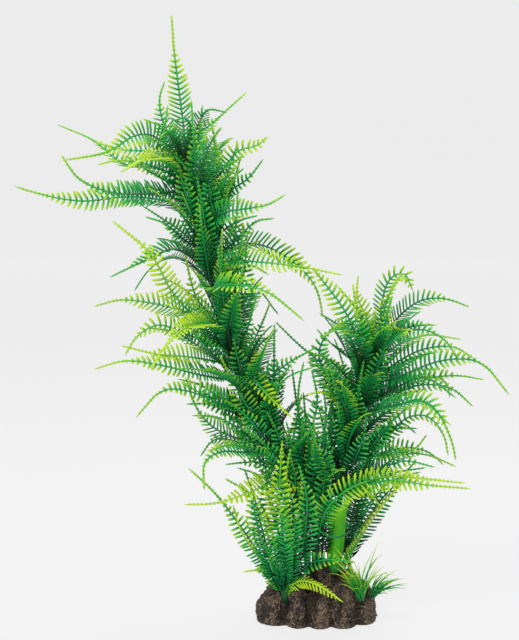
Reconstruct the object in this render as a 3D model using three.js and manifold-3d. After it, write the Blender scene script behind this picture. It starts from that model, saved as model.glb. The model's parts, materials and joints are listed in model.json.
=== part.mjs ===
// An aquarium fern: moulded plastic fronds on leaning stems, planted with a tuft of grass in a
// cast stump of driftwood. Millimetres, +Z up, +X to the right, the front towards -Y.
// The origin is the middle of the stump's flat underside.
import * as THREE from 'three';
import { mergeVertices } from 'three/addons/utils/BufferGeometryUtils.js';
import Module from 'manifold-3d';

const wasm = await Module();
wasm.setup();

// ---- driving dimensions ----
const STEM_RADIUS = 2.2;
const STEM_SIDES = 8;
const SOCKET_CLEARANCE = 0.4; // between a stem's foot and its socket in the stump
const SOCKET_DEPTH = 60;
const PEG_LENGTH = 30;
const STUB_LENGTH = 16;
const SLEEVE_FOOT_Z = 47.5;
const SLEEVE_HEIGHT = 41;
const SLEEVE_BORE = 3.3;
const BLADE_WIDTH = 13; // the web of a frond, without the free ends of its leaflets
const BLADE_KEEL = 1.1; // the rib under the middle of the web
const BLADE_WEB = 0.7; // how far the web stands above the rib's foot
const BLADE_FOLD = 1.6; // how far the web's edges turn up
const BLADE_STATIONS = 11;
const DEPTH_SPREAD = 2; // the rows' y figures are for a plant half as deep
const FOOT_REACH = 2.0; // from the stem's surface to the middle of a frond's foot
const FROND_GAP = 0.5; // least clearance between two fronds
const TURN_STEP = THREE.MathUtils.degToRad(4);
const MOST_TURNS = 9;

const COLOURS = {
  stump: 0x3a2c24,
  stem: 0x0f4a26,
  frond: 0x12813a,
  sleeve: 0x4fb52b,
  grass: 0x3f9f35,
  peg: 0x3b2417,
};

const part = new THREE.Group();
const up = new THREE.Vector3(0, 0, 1);
const front = new THREE.Vector3(0, -1, 0);

function point([x, y, z]) {
  return new THREE.Vector3(x, y, z);
}

function frondPoint([x, y, z]) {
  return new THREE.Vector3(x, y * DEPTH_SPREAD, z);
}

function material(colour, roughness) {
  return new THREE.MeshStandardMaterial({ color: colour, roughness, metalness: 0 });
}

function addMesh(name, geometry, colour, roughness = 0.5) {
  const mesh = new THREE.Mesh(geometry, material(colour, roughness));
  mesh.name = name;
  part.add(mesh);
  return mesh;
}

// ---- closed meshes to manifold solids and back ----
function toSolid(geometry) {
  const bare = geometry.index ? geometry.toNonIndexed() : geometry.clone();
  bare.deleteAttribute('normal');
  bare.deleteAttribute('uv');
  const merged = mergeVertices(bare, 1e-4);
  return new wasm.Manifold(new wasm.Mesh({
    numProp: 3,
    vertProperties: merged.attributes.position.array,
    triVerts: new Uint32Array(merged.index.array),
  }));
}

function toGeometry(solid) {
  const mesh = solid.getMesh();
  const geometry = new THREE.BufferGeometry();
  geometry.setAttribute('position', new THREE.BufferAttribute(mesh.vertProperties, 3));
  geometry.setIndex(new THREE.BufferAttribute(mesh.triVerts, 1));
  return geometry;
}

// ---- stems: leaning tubes along smooth curves ----
const STEMS = {
  tall: [
    [-6, 6, 32], [-9, 7, 62], [-17, 8, 98], [-31, 8, 130], [-46, 6, 158], [-60, 4, 186],
    [-69, 2, 214], [-76, 1, 246], [-82, 0, 278], [-88, 0, 308], [-94, 0, 336], [-98, 0, 352],
  ],
  right: [
    [13, 0, 28], [14.5, 0, 55], [17, 0, 86], [22, 1, 116],
    [28, 2, 148], [34, 2, 176], [41, 2, 202], [44, 2, 213],
  ],
  middle: [[-1, 16, 30], [0, 17, 55], [2, 18, 80], [2, 18, 100]],
};

const stemCurves = Object.fromEntries(
  Object.entries(STEMS).map(([name, points]) => [name, new THREE.CatmullRomCurve3(points.map(point))]),
);

function roundSection(radius, sides) {
  const section = new THREE.Shape();
  for (let i = 0; i < sides; i++) {
    const angle = (i / sides) * 2 * Math.PI;
    section[i ? 'lineTo' : 'moveTo'](radius * Math.cos(angle), radius * Math.sin(angle));
  }
  return section;
}

function tube(curve, radius, sides, steps) {
  return new THREE.ExtrudeGeometry(roundSection(radius, sides), {
    steps, extrudePath: curve, curveSegments: 1,
  });
}

// The curve's point at height z.
function stemAt(stemName, z) {
  const curve = stemCurves[stemName];
  let low = 0;
  let high = 1;
  for (let i = 0; i < 24; i++) {
    const middle = (low + high) / 2;
    if (curve.getPoint(middle).z < z) low = middle;
    else high = middle;
  }
  return curve.getPoint((low + high) / 2);
}

// ---- the stump: rounded flutes run together, cut flat underneath ----
// Straight pieces let into the stump.
const SOCKETS = [
  { name: 'driftwood_peg', foot: [27, 1, 22], direction: [-2.5, 1, 26], radius: 1.9 },
  { name: 'front_stub', foot: [-24, -15, 10], direction: [0, -1, 12], radius: 3.4 },
];

const STUMP_LOBES = [
  // [x, y, z], [radius x, radius y, radius z]
  [[-30, -6, 6], [15.5, 20, 22]],
  [[-14, -16, 6], [10.5, 18, 22]],
  [[2, -18, 6], [10, 18, 25]],
  [[19, -16, 6], [11.5, 19, 27]],
  [[34, -4, 6], [11.5, 20, 24]],
  [[5, 2, 10], [17, 18, 36]],
  [[-17, 16, 6], [19, 17, 25]],
  [[22, 17, 6], [18, 17, 28]],
  [[0, 0, 0], [36, 28, 22]],
];

function stump() {
  let solid = null;
  for (const [centre, radii] of STUMP_LOBES) {
    const lobe = new THREE.SphereGeometry(1, 18, 12);
    lobe.rotateX(Math.PI / 2);
    lobe.scale(...radii);
    lobe.translate(...centre);
    const made = toSolid(lobe);
    solid = solid ? solid.add(made) : made;
  }
  const below = new THREE.BoxGeometry(200, 200, 100);
  below.translate(0, 0, -50);
  solid = solid.subtract(toSolid(below));
  for (const curve of Object.values(stemCurves)) {
    solid = solid.subtract(toSolid(tube(curve, STEM_RADIUS + SOCKET_CLEARANCE, STEM_SIDES, 24)));
  }
  for (const { foot, direction, radius } of SOCKETS) {
    const bore = cylinderAlong(foot, direction, radius + SOCKET_CLEARANCE, SOCKET_DEPTH);
    solid = solid.subtract(toSolid(bore));
  }
  return solid;
}

function cylinderAlong(foot, direction, radius, length) {
  const geometry = new THREE.CylinderGeometry(radius, radius, length, 10);
  geometry.translate(0, length / 2, 0);
  geometry.applyQuaternion(new THREE.Quaternion().setFromUnitVectors(
    new THREE.Vector3(0, 1, 0), point(direction).normalize(),
  ));
  geometry.translate(...foot);
  return geometry;
}

// ---- the sleeve: a fat hollow sheath round the foot of the right stem ----
function sleeve() {
  const profile = [
    [SLEEVE_BORE, 0], [4.4, 0], [5.9, 5], [6.3, 16], [6.3, 30], [5.6, SLEEVE_HEIGHT],
    [SLEEVE_BORE, SLEEVE_HEIGHT], [SLEEVE_BORE, 0],
  ].map(([radius, height]) => new THREE.Vector2(radius, height));
  const geometry = new THREE.LatheGeometry(profile, 14);
  geometry.rotateX(Math.PI / 2);
  const foot = stemAt('right', SLEEVE_FOOT_Z);
  const head = stemAt('right', SLEEVE_FOOT_Z + SLEEVE_HEIGHT);
  const axis = head.clone().sub(foot).normalize();
  geometry.applyQuaternion(new THREE.Quaternion().setFromUnitVectors(up, axis));
  geometry.translate(foot.x, foot.y, foot.z);
  return geometry;
}

// ---- grass: blades from one root, each along its own short curve ----
const GRASS_WIDTH = 1.5;
const GRASS_STATIONS = 5;
const ROOT_RADIUS = 2.4;
const TUFTS = [
  {
    name: 'grass_tuft_upright',
    root: [31.5, -23.5, 21],
    tips: [
      [35, -30, 58], [44, -36, 45], [20, -32, 52], [12, -38, 46],
      [25, -42, 45], [37, -26, 47], [28, -20, 50], [16, -26, 42],
    ],
  },
  {
    name: 'grass_tuft_side',
    root: [44.4, -15.6, 23],
    tips: [
      [65, -22, 28], [55, -18, 21], [60, -24, 36], [53, -10, 46],
      [58, -14, 38], [49, -30, 22], [47, -16, 47], [62, -6, 33],
    ],
  },
];

function tuft({ root, tips }) {
  const knob = new THREE.SphereGeometry(ROOT_RADIUS, 8, 6);
  knob.translate(...root);
  return toGeometry(tips.reduce((solid, tip) => {
    const foot = point(root);
    const end = point(tip);
    const bend = foot.clone().lerp(end, 0.55).add(new THREE.Vector3(0, 0, 0.16 * foot.distanceTo(end)));
    return solid.add(toSolid(ribbon([foot, bend, end], 0.7, grassWidth, GRASS_STATIONS, 0.9, 0.5, 0)));
  }, toSolid(knob)));
}

function grassWidth(t) {
  return GRASS_WIDTH * (1 - 0.8 * t);
}

// ---- fronds ----
// Each row: the foot's height on its stem or its place, face, then the points that the rib passes.
// face is 0 where the web faces up, 1 where it faces the front, -1 where it faces the back.
const FRONDS = {
  tall: [
    // crown
    [334, 1, [-99, 4, 368], [-103, 5, 400], [-106, 2, 428], [-107, -2, 450]],
    [346, 0.9, [-112, 6, 372], [-114, 8, 390], [-110, 8, 403]],
    [338, 0.6, [-88, 6, 364], [-79, 10, 371], [-65, 14, 384], [-52, 18, 396]],
    [349, -0.7, [-88, -8, 368], [-80, -16, 380], [-66, -24, 378]],
    [342, 0.8, [-118, -14, 361], [-131, -22, 362], [-150, -30, 350], [-180, -36, 344]],
    [330, 0.3, [-120, 18, 338], [-148, 30, 342], [-172, 35, 360], [-200, 37, 372]],
    [326, 0.6, [-110, -18, 342], [-124, -40, 344], [-136, -58, 336]],
    [322, 0.8, [-120, -6, 320], [-150, -12, 321], [-173, -16, 331], [-185, -18, 348]],
    [319, 0.8, [-70, -8, 336], [-58, -14, 351], [-44, -16, 355], [-37, -18, 361]],
    // upper middle
    [302, 0.7, [-110, 8, 313], [-140, 10, 317], [-175, 6, 314], [-200, 2, 318], [-223, -2, 325]],
    [294, 0.8, [-70, -14, 306], [-50, -22, 310], [-36, -24, 313], [-24, -24, 320]],
    [272, 0.6, [-98, 10, 288], [-116, 16, 300], [-132, 18, 310]],
    [266, 0.7, [-62, 10, 280], [-40, 16, 280], [-14, 16, 265], [1, 14, 246], [5, 12, 226]],
    [259, 0.6, [-60, -14, 271], [-40, -20, 271], [-12, -22, 268], [17, -22, 262]],
    [264, 0.3, [-104, -16, 280], [-122, -26, 274], [-148, -34, 262]],
    [255, 0.4, [-100, 18, 269], [-118, 32, 267], [-132, 41, 256], [-142, 45, 241]],
    [238, 0.6, [-76, -30, 254], [-60, -42, 258], [-38, -48, 254], [-12, -50, 234]],
    // middle
    [206, 0.8, [-92, -14, 230], [-110, -22, 252], [-124, -28, 278], [-151, -34, 302]],
    [222, 0.7, [-102, 12, 231], [-125, 16, 236], [-150, 18, 238], [-169, 18, 233]],
    [214, 0.6, [-96, -26, 228], [-118, -44, 226], [-134, -54, 214], [-142, -58, 204]],
    [201, 0.9, [-64, -14, 226], [-58, -24, 250], [-54, -30, 270]],
    [209, 0.8, [-56, 18, 228], [-44, 32, 240], [-28, 40, 223]],
    [180, 0.5, [-88, -12, 188], [-114, -18, 196], [-140, -22, 200], [-162, -22, 194]],
    // lower
    [152, 0.6, [-74, -14, 168], [-96, -20, 178], [-113, -26, 179], [-131, -30, 161]],
    [160, 0.7, [-38, -8, 182], [-22, -8, 195], [-2, -10, 207]],
    [132, 0.7, [-60, 10, 134], [-80, 16, 142], [-92, 20, 156], [-100, 22, 178]],
    [108, 0.6, [-36, -10, 106], [-54, -18, 101], [-74, -24, 97], [-97, -27, 97]],
    [124, 0.5, [-56, -14, 131], [-72, -24, 134], [-82, -30, 128], [-82, -34, 110]],
  ],
  right: [
    [212, 0.9, [49, 2, 240], [55, 4, 256], [65, 4, 260], [72, 4, 247]],
    [205, 0.9, [38, 8, 226], [31, 10, 242], [32, 12, 258]],
    [208, 0.7, [66, 10, 230], [82, 14, 239], [100, 16, 239], [117, 16, 233]],
    [200, 0.6, [62, -8, 217], [78, -14, 221], [92, -18, 214], [100, -20, 202]],
    [194, 0.6, [34, -10, 214], [30, -14, 233], [14, -16, 253]],
    [190, 0.5, [60, 20, 201], [88, 34, 208], [117, 42, 203]],
    [184, 0.8, [24, -14, 216], [12, -18, 238], [-2, -20, 256], [-12, -22, 268]],
    [176, 0.7, [62, -14, 188], [90, -20, 200], [116, -22, 199], [137, -24, 176]],
    [168, 0.4, [58, 12, 176], [84, 20, 179], [101, 22, 174], [104, 22, 162]],
    [160, 0.7, [16, 18, 176], [4, 30, 188], [-12, 38, 200], [-30, 42, 217]],
    [150, 0.5, [56, -22, 168], [78, -32, 172], [92, -36, 150], [96, -38, 133]],
    [144, 0.7, [12, -6, 176], [4, -10, 204], [16, -12, 223], [30, -14, 226]],
    [138, 0.4, [54, 14, 152], [80, 22, 160], [106, 26, 139]],
    [118, 0.5, [52, 8, 124], [72, 12, 126], [88, 14, 121], [98, 14, 112]],
    [96, 0.8, [32, -14, 105], [52, -22, 113], [78, -26, 111], [109, -28, 109]],
  ],
  middle: [
    [98, 0.9, [-8, 14, 128], [-14, 12, 158], [-18, 10, 187]],
    [94, 0.9, [8, 24, 126], [9, 26, 156], [8, 26, 183]],
  ],
  // straight out of the front stub
  front: [
    [[-26, -16, 29.5], 0.8, [-42, -13, 54], [-58, -18, 80], [-74, -22, 103], [-93, -26, 123]],
    [[-24.5, -19, 30.5], 0.9, [-25, -13, 64], [-28, -15, 98], [-26, -17, 141]],
    [[-20.5, -15.5, 30], 0.7, [-10, -10, 44], [8, -14, 51], [28, -18, 51]],
    [[-21.5, -20.5, 29], 0.6, [-11, -14, 35], [2, -19, 33], [18, -24, 24]],
    [[-27, -12.5, 31], 0.8, [-38, -6, 60], [-46, -5, 92], [-54, -6, 116]],
    [[-22, -12, 33], 0.9, [-15, -5, 62], [-12, -5, 84], [-14, -8, 104]],
  ],
};

const WIDTH_PROFILE = [[0, 0.2], [0.12, 0.45], [0.3, 1], [0.55, 1], [0.78, 0.5], [0.9, 0.14], [1, 0.07]];

// The width profile's value at t, by straight lines between its points.
function widthAt(t) {
  const i = Math.max(1, WIDTH_PROFILE.findIndex(([end]) => end >= t));
  const [t0, w0] = WIDTH_PROFILE[i - 1];
  const [t1, w1] = WIDTH_PROFILE[i];
  return BLADE_WIDTH * THREE.MathUtils.lerp(w0, w1, (t - t0) / (t1 - t0));
}

// A folded blade along a curve: a box whose four long edges become the web's two edges,
// the web's middle and the rib's keel. All three heights shrink where the blade narrows.
function ribbon(points, face, widthOf, stations, keel, web, fold) {
  const curve = new THREE.CatmullRomCurve3(points, false, 'centripetal');
  const upper = up.clone().multiplyScalar(1 - Math.abs(face)).addScaledVector(front, face).normalize();
  const widest = Math.max(...[0, 0.2, 0.4].map(widthOf));
  const geometry = new THREE.BoxGeometry(1, 1, 1, 1, 1, stations);
  const position = geometry.attributes.position;
  for (let i = 0; i < position.count; i++) {
    const corner = new THREE.Vector3().fromBufferAttribute(position, i);
    const t = corner.z + 0.5;
    const share = widthOf(t) / widest;
    const slim = 0.45 + 0.55 * Math.min(1, 2 * share);
    const tangent = curve.getTangentAt(t);
    const side = new THREE.Vector3().crossVectors(upper, tangent).normalize();
    const normal = new THREE.Vector3().crossVectors(tangent, side).normalize();
    const middle = corner.x > 0 === corner.y > 0;
    const across = middle ? 0 : Math.sign(corner.x) * 0.5 * widthOf(t);
    const height = middle ? (corner.x > 0 ? web : -keel) * slim : fold * slim * share;
    const spot = curve.getPointAt(t).addScaledVector(side, across).addScaledVector(normal, height);
    position.setXYZ(i, spot.x, spot.y, spot.z);
  }
  return geometry;
}

function blade(points, face) {
  return ribbon(points, face, widthAt, BLADE_STATIONS, BLADE_KEEL, BLADE_WEB, BLADE_FOLD);
}

// The rib's points with the foot at a height on the stem's surface, turned about the stem.
function turnedFromStem(stemName, footZ, waypoints, turn) {
  const axis = stemAt(stemName, footZ);
  const turned = waypoints.map((w) => frondPoint(w).sub(axis).applyAxisAngle(up, turn).add(axis));
  const out = turned[0].clone().sub(axis).setZ(0).normalize();
  return [axis.clone().addScaledVector(out, STEM_RADIUS + FOOT_REACH), ...turned];
}

// The rib's points from a foot in the front stub, turned about that foot.
function turnedFromStub(_, foot, waypoints, turn) {
  const pivot = point(foot);
  return [pivot, ...waypoints.map((w) => frondPoint(w).sub(pivot).applyAxisAngle(up, turn / 2).add(pivot))];
}

// Turns a frond in small steps to either side until it clears everything placed so far.
function settle(name, makeGeometry) {
  for (let i = 0; i <= 2 * MOST_TURNS; i++) {
    const turn = Math.ceil(i / 2) * (i % 2 ? 1 : -1) * TURN_STEP;
    const geometry = makeGeometry(turn);
    const solid = toSolid(geometry);
    if (solid.volume() > 0 && placed.every((other) => clear(solid, other))) {
      placed.push(solid);
      return geometry;
    }
  }
  throw new Error(name + ' finds no clear place');
}

function clear(a, b) {
  const boxA = a.boundingBox();
  const boxB = b.boundingBox();
  const apart = [0, 1, 2].some((k) => (
    boxA.min[k] > boxB.max[k] + FROND_GAP || boxB.min[k] > boxA.max[k] + FROND_GAP
  ));
  return apart || a.minGap(b, 2 * FROND_GAP) >= FROND_GAP;
}

// ---- assembly ----
const placed = [];

function place(name, geometry, colour, roughness) {
  addMesh(name, geometry, colour, roughness);
  placed.push(toSolid(geometry));
}

place('driftwood_stump', toGeometry(stump()), COLOURS.stump, 0.9);
for (const [name, curve] of Object.entries(stemCurves)) {
  place(`${name}_stem`, tube(curve, STEM_RADIUS, STEM_SIDES, STEMS[name].length * 3), COLOURS.stem, 0.5);
}
const [peg, stub] = SOCKETS;
place('driftwood_peg', cylinderAlong(peg.foot, peg.direction, peg.radius, PEG_LENGTH), COLOURS.peg, 0.8);
place('front_stub', cylinderAlong(stub.foot, stub.direction, stub.radius, STUB_LENGTH), COLOURS.stem, 0.5);
place('stem_sleeve', sleeve(), COLOURS.sleeve, 0.4);
for (const shape of TUFTS) place(shape.name, tuft(shape), COLOURS.grass, 0.6);

for (const [group, rows] of Object.entries(FRONDS)) {
  rows.forEach(([foot, face, ...waypoints], i) => {
    const name = `${group}_frond_${String(i + 1).padStart(2, '0')}`;
    const ribOf = group === 'front' ? turnedFromStub : turnedFromStem;
    const geometry = settle(name, (turn) => blade(ribOf(group, foot, waypoints, turn), face));
    addMesh(name, geometry, COLOURS.frond, 0.45);
  });
}

export default part;
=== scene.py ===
import json
import math
import random
import bpy
import numpy as np
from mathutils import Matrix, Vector, noise

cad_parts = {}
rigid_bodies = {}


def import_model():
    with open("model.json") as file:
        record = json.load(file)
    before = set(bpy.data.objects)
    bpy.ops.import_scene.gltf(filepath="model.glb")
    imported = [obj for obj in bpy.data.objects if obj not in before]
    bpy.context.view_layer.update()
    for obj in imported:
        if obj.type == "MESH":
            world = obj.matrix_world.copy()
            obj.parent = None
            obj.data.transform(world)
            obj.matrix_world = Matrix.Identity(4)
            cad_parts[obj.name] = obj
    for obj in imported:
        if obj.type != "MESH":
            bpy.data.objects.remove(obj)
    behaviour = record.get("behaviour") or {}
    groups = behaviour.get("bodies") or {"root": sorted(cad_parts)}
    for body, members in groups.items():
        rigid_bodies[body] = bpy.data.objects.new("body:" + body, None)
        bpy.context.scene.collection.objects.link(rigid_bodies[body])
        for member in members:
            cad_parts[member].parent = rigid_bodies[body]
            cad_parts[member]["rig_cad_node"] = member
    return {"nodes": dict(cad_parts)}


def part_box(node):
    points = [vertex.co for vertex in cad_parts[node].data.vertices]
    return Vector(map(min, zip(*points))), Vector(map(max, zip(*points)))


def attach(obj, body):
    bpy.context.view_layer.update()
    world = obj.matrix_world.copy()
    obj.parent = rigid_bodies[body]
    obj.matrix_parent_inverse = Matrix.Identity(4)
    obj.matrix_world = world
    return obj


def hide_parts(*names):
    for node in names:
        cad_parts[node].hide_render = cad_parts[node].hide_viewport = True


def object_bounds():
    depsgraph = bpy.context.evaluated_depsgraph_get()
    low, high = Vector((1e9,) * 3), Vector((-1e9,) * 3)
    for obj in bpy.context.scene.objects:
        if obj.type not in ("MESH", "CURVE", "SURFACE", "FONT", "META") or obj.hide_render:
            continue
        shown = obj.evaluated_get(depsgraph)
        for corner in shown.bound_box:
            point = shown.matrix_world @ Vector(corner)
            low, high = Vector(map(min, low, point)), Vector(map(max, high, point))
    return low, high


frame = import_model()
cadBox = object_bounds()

mm = 0.001  # the scene is in metres
upward = np.array([0.0, 0.0, 1.0])
toFront = np.array([0.0, -1.0, 0.0])


# an sRGB hex colour as linear red, green, blue and alpha
def linearColour(hexText):
    channels = [int(hexText[i:i + 2], 16) / 255 for i in (1, 3, 5)]
    return tuple(c / 12.92 if c <= 0.04045 else ((c + 0.055) / 1.055) ** 2.4 for c in channels) + (1.0,)


# one node with its settings and the sockets that feed it; a number stands for a socket by its place
def addNode(tree, kind, settings=None, links=None):
    node = tree.nodes.new(kind)
    for name, value in (settings or {}).items():
        if name == "stops":  # a colour ramp's places and colours
            for i, (place, colour) in enumerate(value):
                stop = node.color_ramp.elements[i] if i < 2 else node.color_ramp.elements.new(place)
                stop.position = place
                stop.color = linearColour(colour)
        elif isinstance(name, int) or name in node.inputs:
            node.inputs[name].default_value = value
        else:
            setattr(node, name, value)
    for name, source in (links or {}).items():
        tree.links.new(source, node.inputs[name])
    return node


def newMaterial(name, **shaderValues):
    material = bpy.data.materials.new(name)
    material.use_nodes = True
    tree = material.node_tree
    shader = tree.nodes["Principled BSDF"]
    for socket, value in shaderValues.items():
        shader.inputs[socket.replace("_", " ")].default_value = value
    return material, tree, shader


def unit(vectors):
    shortest = 1e-12  # keeps a zero vector from dividing by zero
    return vectors / np.maximum(np.linalg.norm(vectors, axis=-1, keepdims=True), shortest)


# a smooth mesh from points and quads, with named numbers at its points for the material to read
def objectFromQuads(name, points, quads, numbers, material, replaced=()):
    mesh = bpy.data.meshes.new(name)
    mesh.vertices.add(len(points))
    mesh.vertices.foreach_set("co", points.astype(np.float32).ravel())
    mesh.loops.add(4 * len(quads))
    mesh.loops.foreach_set("vertex_index", quads.astype(np.int32).ravel())
    mesh.polygons.add(len(quads))
    mesh.polygons.foreach_set("loop_start", np.arange(0, 4 * len(quads), 4, dtype=np.int32))
    mesh.polygons.foreach_set("use_smooth", np.ones(len(quads), dtype=bool))
    for label, values in numbers.items():
        layer = mesh.attributes.new(label, "FLOAT", "POINT")
        layer.data.foreach_set("value", np.asarray(values, dtype=np.float32))
    mesh.update(calc_edges=True)
    mesh.validate()
    return addPiece(name, mesh, material, replaced)


def addPiece(name, mesh, material, replaced=()):
    piece = bpy.data.objects.new(name, mesh)
    bpy.context.scene.collection.objects.link(piece)
    mesh.materials.clear()
    mesh.materials.append(material)
    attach(piece, "root")
    if replaced:
        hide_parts(*replaced)
    return piece


# the quads of a row of rings, each ring with the same number of points
def loftQuads(rings, sides):
    ring, corner = np.meshgrid(np.arange(rings - 1), np.arange(sides), indexing="ij")
    near = ring * sides
    far = near + sides
    following = (corner + 1) % sides
    return np.stack([near + corner, far + corner, far + following, near + following], -1).reshape(-1, 4)


# a curve through the points, with so many steps between each two
def smoothPath(points, steps):
    ends = np.vstack([2 * points[0] - points[1], points, 2 * points[-1] - points[-2]])
    t = np.linspace(0, 1, steps, endpoint=False)[:, None]
    parts = []
    for a, b, c, d in zip(ends, ends[1:], ends[2:], ends[3:]):
        parts.append(0.5 * (2 * b + (c - a) * t + (2 * a - 5 * b + 4 * c - d) * t ** 2
                            + (3 * b - a - 3 * c + d) * t ** 3))
    return np.vstack(parts + [points[-1:]])


# from the front and a little above, far enough off for "tall" to fill the picture's height
view = {"target": Vector((-42.7, 0, 225.8)) * mm, "elevation": 5.0, "lens": 100.0, "tall": 476.5 * mm,
        "clipFrom": 0.05}


def makeCamera():
    camera = bpy.data.objects.new("camera", bpy.data.cameras.new("camera"))
    bpy.context.scene.collection.objects.link(camera)
    camera.data.lens = view["lens"]
    camera.data.clip_start = view["clipFrom"]
    tilt = math.radians(view["elevation"])
    awayFrom = Vector((0, -math.cos(tilt), math.sin(tilt)))
    camera.location = view["target"] + awayFrom * view["tall"] * view["lens"] / camera.data.sensor_width
    camera.rotation_euler = awayFrom.to_track_quat("Z", "Y").to_euler()
    bpy.context.scene.camera = camera


makeCamera()

# three round soft boxes in a pale room: places and sizes in metres, power in watts
studio = {
    "key": {"at": (-0.65, -0.95, 1.15), "size": 0.7, "power": 12},
    "fill": {"at": (1.15, -1.1, 0.55), "size": 1.2, "power": 5},
    "top": {"at": (0.25, 0.45, 1.35), "size": 0.8, "power": 8},
}

room = {"colour": "#f4f5f5", "strength": 0.54}


def makeLights():
    for label, light in studio.items():
        lamp = bpy.data.objects.new(label, bpy.data.lights.new(label, "AREA"))
        lamp.data.shape = "DISK"
        lamp.data.size = light["size"]
        lamp.data.energy = light["power"]
        lamp.location = light["at"]
        lamp.rotation_euler = (lamp.location - view["target"]).to_track_quat("Z", "Y").to_euler()
        bpy.context.scene.collection.objects.link(lamp)
    world = bpy.data.worlds.new("softRoom")
    bpy.context.scene.world = world
    world.use_nodes = True
    background = world.node_tree.nodes["Background"]
    background.inputs["Color"].default_value = linearColour(room["colour"])
    background.inputs["Strength"].default_value = room["strength"]
    bpy.context.scene.view_settings.view_transform = "Standard"


makeLights()

# a light table whose sheet bends up into a back wall, in metres
table = {"near": -6.0, "bendStart": 5.0, "bendRadius": 1.2, "bendSteps": 12, "top": 7.0, "halfWidth": 8.0}


def lightTable():
    profile = [(table["near"], 0.0)]
    for k in range(table["bendSteps"] + 1):
        angle = math.radians(90 * k / table["bendSteps"])
        profile.append((table["bendStart"] + table["bendRadius"] * math.sin(angle),
                        table["bendRadius"] * (1 - math.cos(angle))))
    profile.append((profile[-1][0], table["top"]))
    points = [(x, y, z) for y, z in profile for x in (-table["halfWidth"], table["halfWidth"])]
    faces = [(2 * k, 2 * k + 1, 2 * k + 3, 2 * k + 2) for k in range(len(profile) - 1)]
    mesh = bpy.data.meshes.new("lightTable")
    mesh.from_pydata(points, [], faces)
    mesh.polygons.foreach_set("use_smooth", [True] * len(faces))
    # opal acrylic, cast and satin-etched, lit from behind: an even pale grey with hardly a shadow
    material, tree, shader = newMaterial("backlitOpalAcrylic", Roughness=0.9, Specular_IOR_Level=0.1)
    haze = addNode(tree, "ShaderNodeTexNoise", {"Scale": 5.0, "Detail": 2.0})  # clouds a fifth of the table across
    tint = addNode(tree, "ShaderNodeValToRGB", {"stops": [(0.0, "#5a5a5a"), (1.0, "#5e5e5e")]},
                   {"Fac": haze.outputs["Fac"]})
    tree.links.new(tint.outputs["Color"], shader.inputs["Base Color"])
    shader.inputs["Emission Color"].default_value = linearColour("#fafafa")
    shader.inputs["Emission Strength"].default_value = 0.8
    floor = bpy.data.objects.new("lightTable", mesh)
    bpy.context.scene.collection.objects.link(floor)
    mesh.materials.append(material)


lightTable()
print("stage and camera set")


# moulded polyethylene, dyed deep green and air-brushed lime: satin, with colour that runs along each frond;
# darkest at the foot, with painted shade for the plant's dense inside
def frondFinish():
    # the foot colour is painted shade for the plant's dense inside, darker than the dye's own deep green at the
    # next stop
    paint = {"foot": "#053a1e", "shade": "#006a34", "middle": "#009443", "turn": "#22ac38",
             "lime": "#86c516", "tip": "#b4da14"}
    material, tree, shader = newMaterial("airbrushedPolyethylene", Roughness=0.42, IOR=1.51,
                                         Specular_IOR_Level=0.4, Coat_Weight=0.15, Coat_Roughness=0.3)
    along = addNode(tree, "ShaderNodeAttribute", {"attribute_name": "along"})
    across = addNode(tree, "ShaderNodeAttribute", {"attribute_name": "across"})
    tint = addNode(tree, "ShaderNodeAttribute", {"attribute_name": "tint"})
    place = addNode(tree, "ShaderNodeTexCoord")
    # air-brush clouds about 12 mm across
    clouds = addNode(tree, "ShaderNodeTexNoise", {"Scale": 80.0, "Detail": 3.0},
                     {"Vector": place.outputs["Object"]})
    cloudShift = addNode(tree, "ShaderNodeMath", {"operation": "MULTIPLY_ADD", 1: 0.34, 2: -0.17},
                         {0: clouds.outputs["Fac"]})
    # the leaflets' ends take the lime before the rib does, more so towards the tip
    outer = addNode(tree, "ShaderNodeMapRange",
                    {"From Min": 0.1, "From Max": 0.5, "To Min": 0.2, "To Max": 0.48},
                    {"Value": along.outputs["Fac"]})
    endShare = addNode(tree, "ShaderNodeMath", {"operation": "MULTIPLY"},
                       {0: across.outputs["Fac"], 1: outer.outputs["Result"]})
    run = addNode(tree, "ShaderNodeMath", {"operation": "MULTIPLY_ADD", 1: 0.8},
                  {0: along.outputs["Fac"], 2: endShare.outputs[0]})
    withTint = addNode(tree, "ShaderNodeMath", {"operation": "ADD"},
                       {0: run.outputs[0], 1: tint.outputs["Fac"]})
    amount = addNode(tree, "ShaderNodeMath", {"operation": "ADD", "use_clamp": True},
                     {0: withTint.outputs[0], 1: cloudShift.outputs[0]})
    ramp = addNode(tree, "ShaderNodeValToRGB", {"stops": [
        (0.0, paint["foot"]), (1.0, paint["tip"]), (0.18, paint["shade"]), (0.42, paint["middle"]),
        (0.62, paint["turn"]), (0.82, paint["lime"])]}, {"Fac": amount.outputs[0]})
    tree.links.new(ramp.outputs["Color"], shader.inputs["Base Color"])
    # flow marks and mould grain about 0.8 mm apart, coarser than the real grain so that it shows
    grain = addNode(tree, "ShaderNodeTexNoise", {"Scale": 1250.0, "Detail": 2.0},
                    {"Vector": place.outputs["Object"]})
    gloss = addNode(tree, "ShaderNodeMapRange", {"To Min": 0.34, "To Max": 0.52},
                    {"Value": grain.outputs["Fac"]})
    tree.links.new(gloss.outputs["Result"], shader.inputs["Roughness"])
    bump = addNode(tree, "ShaderNodeBump", {"Strength": 0.25, "Distance": 0.0002},
                   {"Height": grain.outputs["Fac"]})
    tree.links.new(bump.outputs["Normal"], shader.inputs["Normal"])
    return material


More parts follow.
